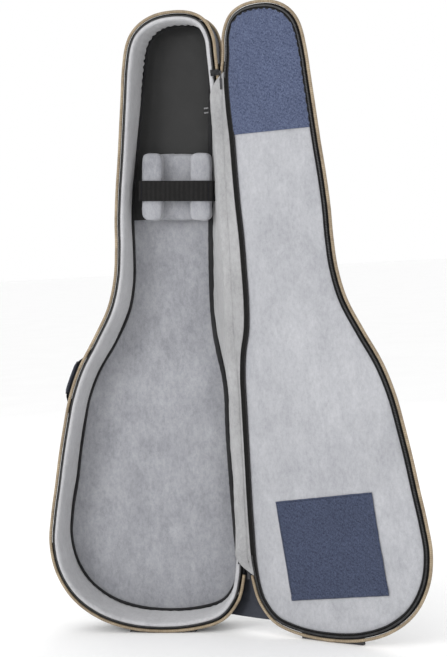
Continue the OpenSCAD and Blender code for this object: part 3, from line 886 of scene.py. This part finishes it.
LID_OUT = (lid(0, 0, 0) - lid(0, 1, 0)).normalized()
SEWN_IN, SEWN_HEM, THREAD_LIFT = 3.2, 6, 1.9
a0, a1 = -PATCH_W / 2 + SEWN_IN, PATCH_W / 2 - SEWN_IN - SEWN_HEM
b0, b1 = -PATCH_H / 2 + SEWN_IN + SEWN_HEM, PATCH_H / 2 - SEWN_IN
square = [(a0, b0), (a1, b0), (a1, b1), (a0, b1), (a0, b0)]
pts = [(patch_point(a + (a2 - a) * (k / 12), b + (b2 - b) * (k / 12), THREAD_LIFT), LID_OUT)
       for (a, b), (a2, b2) in zip(square, square[1:]) for k in range(12)]
pts.append((patch_point(a0, b0, THREAD_LIFT), LID_OUT))
stitches("lid_patch_stitches", pts, 2.6, 1.4, 0.9, "lid", "blue_cloth", "dark_thread")

# spine cloth: from the black welt up the tray's wall, over its rim and the hinge, to the lid's tape
rows = []
LEAF_FIRST, LEAF_LAST, LEAF_TIP = NEAR_FIRST - 2, NEAR_LAST + 2, 7
for i in range(LEAF_FIRST, LEAF_LAST + 1):
    grow = min(i - LEAF_FIRST, LEAF_LAST - i, LEAF_TIP) / LEAF_TIP
    ends = sin(pi / 2 * max(grow, 0.02))
    belly = 1.6 * ends + 2.0 * bump(lid_loop[i % N][1], 147, 16)
    lu, z = lid_loop[i % N][0], tray_uz(i, 0, RIM_Y)[1]
    deep = 12 + 68 * ends
    path = [tray_at(i, 16.2, deep), tray_at(i, 16.2, deep * 0.75 + 3),
            tray_at(i, 16.1, deep * 0.5 + 5), tray_at(i, 16.6, deep * 0.25 + 6),
            tray_at(i, 15.2, 2.6), tray_at(i, 9.5, -belly),
            tray(1.5, -belly, z), lid(1.8, 0.2, z), lid(max(lu * 0.5 + 1.2, 2.4), 2.2, z),
            lid(lu + 2.6, 4.1, z)]
    row = []
    for k in range(len(path) - 1):
        for t in (0, 0.25, 0.5, 0.75):
            p = Vector(spline(path[max(k - 1, 0)], path[k], path[k + 1], path[min(k + 2, 9)], t))
            soft = fbm(p, 13, 17) * 2.4 + 0.7 * fbm(p, 42, 18)
            row.append(p + Vector((-0.6, -0.8, 0)) * (soft / 1000 * ends * smooth(9, 7, k + t)))
    rows.append([path[-1].lerp(p, ends) for p in row] + [path[-1]])
spine = cloth("spine_cloth", rows, 0.0016)
done(spine, None, "plush_tray", "plush_spine", "spine_gusset", "spine_tape")
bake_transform(spine)

# outer cloth that bridges the two halves behind the spine, with one cross seam near its lower end
rows = []
for i in range(NEAR_FIRST - 6, N + 2 * SUB + 2):
    low = smooth(N - 12, N + 4, i)
    a, b = tray_at(i, -0.7 + 1.9 * low, 52), lid_at(i, 3.6, 12)
    mid = Vector((HINGE_U / 1000, (9 - HINGE_Y) / 1000, a.z))
    seam_dip = 0.0016 * bump(a.z * 1000, 62, 3)
    row = []
    for c in range(21):
        t = c / 20
        p = a * (1 - t) ** 2 + mid * 2 * t * (1 - t) + b * t * t
        row.append(p + Vector((0, seam_dip + 0.0012 * fbm(p, 22, 21), 0)))
    rows.append(row)
bridge = cloth("spine_outer_cloth", rows, 0.0014)
done(bridge, None, "outer_cloth", "outer")
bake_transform(bridge)

# ---- padded pieces


def prism(name, outline, y0, y1, place, steps=3):
    """A closed block from an outline [(a, b)], between two depths, ready to be swollen."""
    verts, faces = [], []
    n = len(outline)
    for k in range(steps + 1):
        y = y0 + (y1 - y0) * k / steps
        verts += [place(a, y, b) for a, b in outline]
    for k in range(steps):
        for j in range(n):
            j1 = (j + 1) % n
            faces.append((k * n + j, k * n + j1, (k + 1) * n + j1, (k + 1) * n + j))
    faces.append(tuple(range(n)))
    faces.append(tuple(steps * n + j for j in reversed(range(n))))
    return recalc(mesh_object(name, verts, faces))


def round_rect(w, h, r, n=8):
    return [(cx * (w / 2 - r) + r * cos(radians(t0 + k * 90 / n)),
             cz * (h / 2 - r) + r * sin(radians(t0 + k * 90 / n)))
            for cx, cz, t0 in ((1, 1, 0), (-1, 1, 90), (-1, -1, 180), (1, -1, 270))
            for k in range(n + 1)]


def puffed(ob, voxel, pressure, cap, frames=20):
    """Voxel remesh, then a pressurised cloth, with every point's move capped."""
    md = ob.modifiers.new("remesh", "REMESH")
    md.mode, md.voxel_size = "VOXEL", voxel
    apply_all(ob)
    start = [v.co.copy() for v in ob.data.vertices]
    cl = ob.modifiers.new("cloth", "CLOTH")
    st = cl.settings
    st.quality, st.mass = 5, 0.2
    st.use_pressure, st.uniform_pressure_force = True, pressure
    st.tension_stiffness = st.compression_stiffness = st.shear_stiffness = 12
    st.bending_stiffness = 1.5
    st.effector_weights.gravity = 0
    cl.point_cache.frame_start, cl.point_cache.frame_end = 1, frames
    for f in range(1, frames + 1):
        scene.frame_set(f)
    apply_all(ob)
    scene.frame_set(1)
    for v, p in zip(ob.data.vertices, start):
        move = v.co - p
        if move.length > cap:
            v.co = p + move.normalized() * cap
    mod = ob.modifiers.new("sub", "SUBSURF")
    mod.levels = mod.render_levels = 1
    return apply_all(ob)


def wrinkle(ob, amount, scale, seed):
    normals = [v.normal.copy() for v in ob.data.vertices]
    for v, normal in zip(ob.data.vertices, normals):
        v.co += normal * (amount * fbm(v.co, scale, seed) / 1000)
    ob.data.update()


CRADLE_AT, CRADLE_LEAN = (109.5, 907), radians(3.4)
CRADLE_W, CRADLE_H, CHANNEL = 147, 142, 54
LOBE_W = (CRADLE_W - CHANNEL) / 2


def cradle(x, y, z):
    x, z = turned(x, z, CRADLE_LEAN)
    return Vector(((HINGE_U - CRADLE_AT[0] + x) / 1000, (y - HINGE_Y) / 1000,
                   (CRADLE_AT[1] + z) / 1000))


for side, label in ((-1, "far"), (1, "near")):
    mid = side * (CHANNEL + LOBE_W) / 2
    ob = prism("cradle_pad_" + label, round_rect(LOBE_W - 5, CRADLE_H - 6, 13), 33, 60,
               lambda a, y, b, m=mid: cradle(a + m, y, b))
    puffed(ob, 0.0042, 3.0, 0.0042)
    wrinkle(ob, 0.9, 45, 20 + side)
    done(ob, "tray", "plush_tray", "plush_tray", "cradle_lobe_" + label)
base = prism("cradle_block", [(a - 10, b) for a, b in round_rect(114, CRADLE_H - 8, 19)],
             60.5, 84.5, cradle)
puffed(base, 0.005, 1.5, 0.002)
wrinkle(base, 0.6, 40, 23)
done(base, "tray", "plush_tray", "plush_tray", "cradle_base")

STRAP_DROP, STRAP_W = -8.5, 41
EDGE = CRADLE_W / 2 + 0.4


def strap_sheet(name, profile, ribs=True, thick=0.0018):
    """Webbing along a profile [(x, y)] across the cradle, with ribs across its length."""
    lens = [0.0]
    for a, b in zip(profile, profile[1:]):
        lens.append(lens[-1] + hypot(b[0] - a[0], b[1] - a[1]))
    steps = int(lens[-1] / 0.7)
    rows = []
    for k in range(steps + 1):
        s = lens[-1] * k / steps
        j = 0
        while j < len(lens) - 2 and lens[j + 1] < s:
            j += 1
        t = (s - lens[j]) / (lens[j + 1] - lens[j])
        x = profile[j][0] + (profile[j + 1][0] - profile[j][0]) * t
        y = profile[j][1] + (profile[j + 1][1] - profile[j][1]) * t
        nx, ny = -(profile[j + 1][1] - profile[j][1]), profile[j + 1][0] - profile[j][0]
        mm = hypot(nx, ny)
        lift = 0.28 * sin(2 * pi * s / 2.9) if ribs else 0
        line = []
        for c in range(15):
            z = STRAP_DROP + STRAP_W * (c / 14 - 0.5)
            edge = 1 - 0.5 * bump(abs(c - 7), 7, 0.8)
            line.append(cradle(x - nx / mm * lift * edge, y - ny / mm * lift * edge, z))
        rows.append(line)
    return cloth(name, rows, thick)


def arc_profile(pts, n=6):
    """A polyline with its inner corners rounded."""
    out = [pts[0]]
    for a, b, c in zip(pts, pts[1:], pts[2:]):
        r = 2.2
        va = Vector((a[0] - b[0], a[1] - b[1])).normalized() * r
        vc = Vector((c[0] - b[0], c[1] - b[1])).normalized() * r
        for k in range(n + 1):
            t = k / n
            q = (Vector(b) + va) * (1 - t) ** 2 + Vector(b) * 2 * t * (1 - t) \
                + (Vector(b) + vc) * t * t
            out.append((q.x, q.y))
    out.append(pts[-1])
    return out


strap = strap_sheet("neck_strap_web", arc_profile(
    [(-EDGE - 1.6, 31.0), (-EDGE - 1.2, 28.6), (-EDGE + 12, 28.2), (0, 28.9), (EDGE - 12, 28.2),
     (EDGE + 2.4, 28.7), (EDGE + 2.8, 53)]))
done(strap, "neck_strap", "webbing", "webbing", "neck_strap")
anchor = strap_sheet("strap_sewn_end", [(-EDGE - 1.3, 31.0), (-EDGE - 1.5, 42), (-EDGE - 1.0, 55)])
done(anchor, "tray", "webbing", "webbing", "strap_anchor")
hook = strap_sheet("strap_hook_pad", [(EDGE + 0.6, 33), (EDGE + 0.7, 42), (EDGE + 0.6, 51)],
                   False, 0.0012)
done(hook, "tray", "webbing", "webbing", "strap_hook_patch")
for x, label in ((-EDGE + 4, "far"), (EDGE - 5, "near")):
    pts = [(cradle(x, 27.2, STRAP_DROP + b), Vector((0, -1, 0))) for b in range(-18, 19, 3)]
    stitches("strap_stitches_" + label, pts, 2.4, 1.2, 0.8, "neck_strap", "webbing", "dark_thread")

# two bar tacks on the wear panel, close to the hinge side
for k, z in enumerate((1064, 1055)):
    rows = []
    for u in (36, 40, 44, 48, 52):
        p = tray(u, 80.6, z + (45 - u) * 0.05)
        section = (-1, 0), (-0.6, 0.8), (0.6, 0.8), (1, 0), (0.6, -0.6), (-0.6, -0.6)
        rows.append([p + Vector((0, -b * 0.0009, a * 0.0016)) for a, b in section])
    bar = skin("bar_tack_%d" % k, rows, tube=True, cap=True)
    done(bar, "tray", "black_vinyl", "thread")

# ---- handle
H_LOW, H_HIGH, H_Y, H_OUT = (359, 440), (295, 588), 52, 30
H_LEN = hypot(H_HIGH[0] - H_LOW[0], H_HIGH[1] - H_LOW[1])
H_TILT = atan2(H_LOW[0] - H_HIGH[0], H_HIGH[1] - H_LOW[1])
GRIP, WEB = 74, 25


def handle(x, y, z):
    x, z = turned(x, z, H_TILT)
    return Vector(((HINGE_U - H_LOW[0] + x) / 1000, (H_Y + y - HINGE_Y) / 1000,
                   (H_LOW[1] + z) / 1000))


mid = H_LEN / 2
path = [(-5.9, -6), (-7.2, 2), (-13, 12), (-22, mid - GRIP / 2 - 12), (-29, mid - GRIP / 2),
        (-31.4, mid - GRIP / 4), (-31.8, mid), (-31.4, mid + GRIP / 4), (-29, mid + GRIP / 2),
        (-22, mid + GRIP / 2 + 12), (-13, H_LEN - 12), (-7.2, H_LEN - 2), (-5.9, H_LEN + 6)]


def smooth_path(pts, n=8):
    out = []
    for k in range(len(pts) - 1):
        a, b = pts[max(k - 1, 0)], pts[k]
        c, d = pts[k + 1], pts[min(k + 2, len(pts) - 1)]
        out += [spline(a, b, c, d, t / n) for t in range(n)]
    return out + [pts[-1]]


rows = []
for x, z in smooth_path(path):
    rows.append([handle(x + 0.25 * cos(c * pi), WEB * (c / 8 - 0.5), z) for c in range(9)])
done(cloth("handle_web", rows, 0.0019), "handle", "webbing", "webbing", "handle_webbing")
rows = []
for k in range(25):
    z = mid + (GRIP - 4) * (k / 24 - 0.5)
    x0 = -31.2 - 0.6 * cos((k / 24 - 0.5) * pi)
    f = 0.72 + 0.28 * smooth(0, 0.14, min(k, 24 - k) / 24)
    rows.append([handle(x0 + f * 4.9 * copysign(abs(cos(a)) ** 0.8, cos(a)),
                        f * 15.8 * copysign(abs(sin(a)) ** 0.8, sin(a)), z)
                 for a in round_steps(28)])
grip = skin("handle_grip_pad", rows, tube=True, cap=True)
wrinkle(grip, 0.5, 60, 31)
done(grip, "handle", "outer_cloth", "outer_soft", "handle_grip")
tabs = []
for first in (13 * SUB, 16 * SUB):
    rows = [[tray_at(i, -1.6 - 0.3 * cos(c * pi / 4), H_Y - WEB / 2 + WEB * c / 8)
             for c in range(9)] for i in range(first, first + 5)]
    tabs.append(cloth("tab", rows, 0.0016))
tab = join("handle_sewn_tabs", tabs)
done(tab, "tray", "outer_cloth", "webbing", "handle_tabs")

# ---- back of the tray


PAD_W, PAD_TOP, PAD_LEN, LEAN = 62, 985, 470, radians(6.3)
BACK_MID, TAIL_LOW = 118, 112


def pad_mid(s, z):
    """Where the middle of a shoulder strap lies at a height; s is 1 for the far strap."""
    t = (PAD_TOP - z) / PAD_LEN
    return BACK_MID + s * (34 + 44 * t * t) + (PAD_TOP - z) * tan(LEAN)


for s, label in ((1, "far"), (-1, "near")):
    z0, z1 = PAD_TOP - PAD_LEN + 6, PAD_TOP - 4
    outline = []
    for way, ks in ((1, range(17)), (-1, range(16, -1, -1))):
        for k in ks:
            z = z0 + (z1 - z0) * k / 16
            half = (PAD_W / 2 - 3) * (1 - 0.25 * bump(k, 0, 1.2))
            outline.append((pad_mid(s, z) + way * half, z))
    ob = prism("shoulder_pad_soft_" + label, outline, 109.5, 118.5, tray, 2)
    puffed(ob, 0.0055, 3.0, 0.0035)
    wrinkle(ob, 0.5, 30, 40 + s)
    done(ob, "tray", "outer_cloth", "outer_soft", "shoulder_pad_" + label)
    rows = []
    for k in range(90):
        z = TAIL_LOW + (PAD_TOP - PAD_LEN + 2 - TAIL_LOW) * k / 89
        m0 = pad_mid(0.75 * s, z)
        rows.append([tray(m0 + WEB * (c / 8 - 0.5), 108.8 + 0.5 * sin(k * 0.3), z)
                     for c in range(9)])
    tail = cloth("shoulder_tail_web_" + label, rows, 0.0016)
    done(tail, "tray", "webbing", "webbing", "shoulder_tail_" + label)
    edge = [(tray(pad_mid(s, z) + PAD_W / 2 - 6, 120.4, z), Vector((0, 1, 0)))
            for z in range(530, 975, 15)]
    stitches("pad_stitches_a_" + label, edge, 3, 1.8, 0.9, "tray", "outer_cloth", "thread")
yoke = prism("shoulder_yoke_soft",
             [(BACK_MID + a, PAD_TOP + 36 + b) for a, b in round_rect(174, 58, 10)],
             107.4, 111.6, tray, 2)
puffed(yoke, 0.004, 1.0, 0.0012)
done(yoke, "tray", "outer_cloth", "outer_soft", "shoulder_yoke")
pts = [(tray(BACK_MID + a, 112.6, PAD_TOP + 36 + b), Vector((0, 1, 0)))
       for a, b in round_rect(164, 48, 8)]
stitches("yoke_stitches", pts + pts[:1], 3, 1.8, 0.9, "tray", "outer_cloth", "thread")

LOOP_U, LOOP_Z = 104, 1196
rows = [[tray(LOOP_U + 15.5 * a, 108.6 + b + 1.0 * bump(abs(a), 0, 0.8), LOOP_Z + 1 + 32 * r / 8)
         for a, b in ((-1, 0), (-0.6, 0.6), (0, 0.8), (0.6, 0.6), (1, 0))] for r in range(9)]
done(cloth("top_loop_patch", rows, 0.0022), "tray", "outer_cloth", "outer", "top_loop_tab")
# the folded webbing loop, as one bent strip: down one side, across and up the other
loop_path = [(11, 0), (11, -40), (10.5, -76), (6, -85), (0, -86.5), (-6, -85), (-10.5, -76),
             (-11, -40), (-11, 0)]
rows = []
for a, b in smooth_path(loop_path, 6):
    rows.append([tray(LOOP_U + a * (1 + e * 0.11), 109.6 + t, LOOP_Z - 2 + b * (1 + e * 0.012))
                 for e, t in ((-1.3, -1.1), (0, -1.4), (1.3, -1.1), (1.6, 0), (1.3, 1.1), (0, 1.4),
                              (-1.3, 1.1), (-1.6, 0))])
loop = skin("top_loop_web", rows, tube=True, cap=True)
done(loop, "top_loop", "webbing", "webbing", "top_loop")

# ---- boot, feet
rows = []
BOOT_FIRST, BOOT_LAST = -12, 72
for i in range(BOOT_FIRST, BOOT_LAST + 1):
    e = smooth(BOOT_FIRST, BOOT_FIRST + 5, i) * smooth(BOOT_LAST, BOOT_LAST - 5, i)
    row = []
    for k, y in enumerate((9, 9.6, 13, 22, 34, 53, 72, 84, 95, 100, 101)):
        lip = 0.5 * (bump(y, 14, 2.5) + bump(y, 96, 2.5))
        d = -0.4 - 2.0 * (0.35 + 0.65 * e) * (0.4 if k in (0, 10) else 1) - lip * 0.6
        row.append(tray_at(i, d, y))
    rows.append(row)
boot = cloth("tray_boot_soft", rows, 0.0012)
done(boot, "tray", "rubber", "rubber", "tray_boot")
for n in ("tray_foot", "lid_foot"):
    paint(NODES[n], "rubber")

# ---- pocket on the lid
POCKET_AT, POCKET_W, POCKET_H = (200, 285), 280, 400


def pocket(x, w, z):
    x, z = turned(x, z, -LEAN)
    return lid(POCKET_AT[0] + x, w, POCKET_AT[1] + z)


body = prism("pocket_soft", round_rect(POCKET_W - 4, POCKET_H - 4, 46), 26.2, 36.6,
             pocket, 2)
puffed(body, 0.006, 2.0, 0.003)
wrinkle(body, 1.0, 14, 50)
done(body, "lid", "outer_cloth", "outer_soft", "pocket_body")
welt = round_rect(POCKET_W - 5, POCKET_H - 5, 44, 12)
rows = []
for k, (a, b) in enumerate(welt):
    nx, nz = inward(welt, k)
    rows.append([pocket(a - nx * 2.0 * cos(t), 37.6 + 2.0 * sin(t), b - nz * 2.0 * cos(t))
                 for t in round_steps(8)])
done(skin("pocket_welt", rows, ring=True, tube=True), "lid", "tan_piping", "tan")
ZIP_Z = POCKET_H / 2 - 52
rows = [[pocket(x, 40.6 + 0.2 * sin(x * 0.05), ZIP_Z + z) for z in (-11, -6, -3, 3, 6, 11)]
        for x in range(-112, 113, 4)]
zip_tape = cloth("pocket_zip_tape", rows, 0.001)
verts, faces = [], []
for k in range(88):
    x = -109 + 2.5 * k
    b0 = len(verts)
    for dx in (-0.8, 0.8):
        for z, w in ((-2.4, 41.2), (-2.2, 42.4), (2.2, 42.4), (2.4, 41.2)):
            verts.append(pocket(x + dx + (0.5 if w > 42 else 0), w, ZIP_Z + z))
    faces += [(b0, b0 + 1, b0 + 2, b0 + 3), (b0 + 4, b0 + 5, b0 + 6, b0 + 7),
              (b0, b0 + 1, b0 + 5, b0 + 4), (b0 + 1, b0 + 2, b0 + 6, b0 + 5),
              (b0 + 2, b0 + 3, b0 + 7, b0 + 6), (b0 + 3, b0, b0 + 4, b0 + 7)]
zip_teeth = recalc(mesh_object("pocket_zip_teeth", verts, faces, flat=True))
done(zip_tape, "lid", "zip_tape", "tape", "pocket_zip")
done(zip_teeth, "lid", "zip_chain", "coil")

# ---- hard parts from the CAD
for names, key, width in ((("pocket_slider", "top_slider", "low_slider"), "metal", 0.0004),
                          (("pocket_pull", "top_pull", "low_pull"), "plastic", 0.00018),
                          (("buckle_far", "buckle_near"), "plastic", 0.0008)):
    for n in names:
        ob = NODES[n]
        paint(ob, key)
        bev = ob.modifiers.new("soft_edges", "BEVEL")
        bev.width, bev.segments, bev.limit_method = width, 2, "ANGLE"

# ---- floor, light, camera
floor_mesh = bpy.data.meshes.new("floor")
floor_mesh.from_pydata([(-30, -20, 0), (30, -20, 0), (30, 40, 0), (-30, 40, 0)], [], [(0, 1, 2, 3)])
ground = add("floor", floor_mesh)
fm = Mat("floor_paint", 0.9)
fm.color(fm.ramp(fm.noise(3, 3), [(0.3, (0.96, 0.96, 0.96)), (0.7, (0.98, 0.98, 0.98))]))
floor_mesh.materials.append(fm.m)

world = bpy.data.worlds.new("studio")
scene.world = world
world.use_nodes = True
world.node_tree.nodes["Background"].inputs["Color"].default_value = (1, 1, 1, 1)
world.node_tree.nodes["Background"].inputs["Strength"].default_value = 1.0
scene.view_settings.view_transform = "Standard"


def area_light(name, at, target, size, power):
    data = bpy.data.lights.new(name, "AREA")
    data.shape, data.size, data.size_y, data.energy = "RECTANGLE", size[0], size[1], power
    ob = add(name, data)
    ob.location = at
    ob.rotation_euler = (Vector(target) - Vector(at)).to_track_quat("-Z", "Y").to_euler()


area_light("key", (-1.7, -2.4, 1.5), (0.05, 0, 0.5), (1.1, 1.1), 30)
area_light("fill", (2.4, -2.6, 1.4), (0.1, 0, 0.6), (1.8, 1.8), 10)
area_light("back", (0.3, 2.6, 2.4), (0.1, 0, 0.7), (2, 1.5), 20)

cam_data = bpy.data.cameras.new("camera")
cam = add("camera", cam_data)
scene.camera = cam
cam_data.sensor_width = 36
cam_data.lens = 36 * 1500 / 657
TRAY_TURN = radians(10.716)
R = (Matrix.Rotation(TRAY_TURN, 3, "Z") @ Matrix.Rotation(radians(0.793), 3, "Z")
     @ Matrix.Rotation(radians(-3.253), 3, "X") @ Matrix.Rotation(radians(3.211), 3, "Y"))
cam_at = (Matrix.Rotation(TRAY_TURN, 3, "Z") @ Vector((0.0209, -2.9875, 0.7881))
          + Vector((0.190, -0.056, 0)))
world_matrix = Matrix.Identity(4)
for r in range(3):
    world_matrix[r][0], world_matrix[r][1], world_matrix[r][2] = R[r][0], R[r][2], -R[r][1]
    world_matrix[r][3] = cam_at[r]
cam.matrix_world = world_matrix

bpy.context.view_layer.update()
